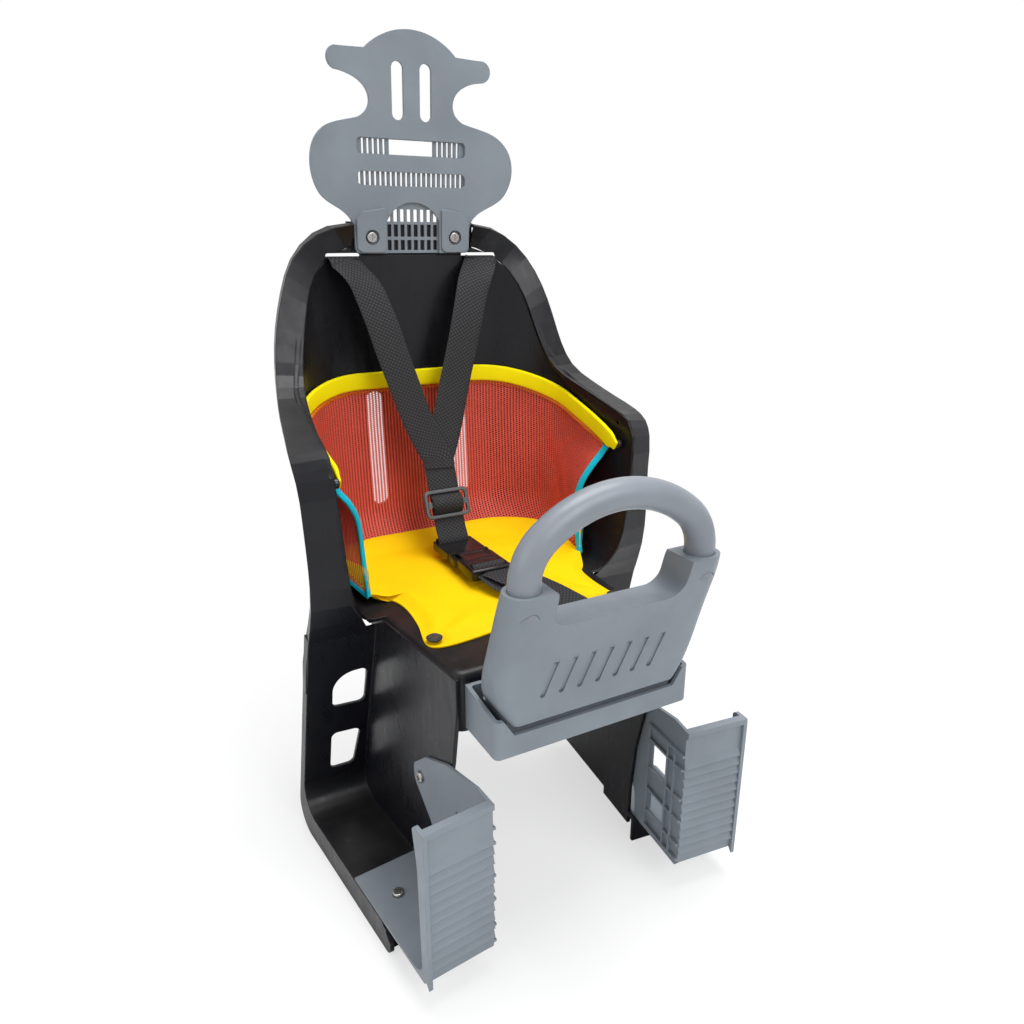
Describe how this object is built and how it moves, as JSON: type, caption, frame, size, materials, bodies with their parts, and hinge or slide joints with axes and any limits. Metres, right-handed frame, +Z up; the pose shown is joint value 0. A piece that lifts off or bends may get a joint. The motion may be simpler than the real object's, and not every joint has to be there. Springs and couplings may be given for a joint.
{
  "type": "rear child bike seat",
  "caption": "Child seat for a bicycle's rear carrier: moulded bucket with foot channels and guards, headrest plate, grab handle, harness and cloth pad.",
  "frame": {"origin": "on the ground under the middle of the outline", "axes": "+Z up, -Y the way the child faces, +X to the right as seen from the front, X = 0 the middle plane"},
  "size_m": [0.4162, 0.4456, 0.8524],
  "materials": {
    "shell": "satin black polypropylene",
    "grey_plastic": "satin grey",
    "grey_tube": "satin grey",
    "dark_grey_plastic": "satin",
    "black_plastic": "satin",
    "steel": "stainless",
    "webbing": "twilled webbing",
    "red_mesh": "open spacer mesh",
    "yellow_cloth": "smooth stretch cloth",
    "cyan_piping": "bias tape"
  },
  "bodies": {
    "root": {"seat_shell": "shell", "headrest_plate": "grey_plastic", "headrest_grille": "grey_plastic", "headrest_screws": "steel", "headrest_nuts": "steel", "handle_tray": "grey_plastic", "tray_screws": "steel", "tray_nuts": "steel", "handle_body": "grey_plastic", "handle_screws": "steel", "handle_arch": "grey_tube", "foot_guard_right": "grey_plastic", "foot_guard_left": "grey_plastic", "guard_wall_screws": "steel", "guard_floor_screws": "steel", "guard_nuts": "steel", "shoulder_strap_left": "webbing", "shoulder_strap_right": "webbing", "strap_keepers": "black_plastic", "centre_strap": "webbing", "strap_adjuster": "dark_grey_plastic", "buckle_tongue": "black_plastic", "buckle_socket": "black_plastic", "crotch_strap": "webbing", "crotch_strap_bar": "black_plastic", "pad_mesh": "red_mesh", "pad_binding": "yellow_cloth", "pad_piping_left": "cyan_piping", "pad_piping_right": "cyan_piping", "pad_seat": "yellow_cloth", "pad_screws": "steel", "pad_buttons": "black_plastic"}
  },
  "joints": []
}
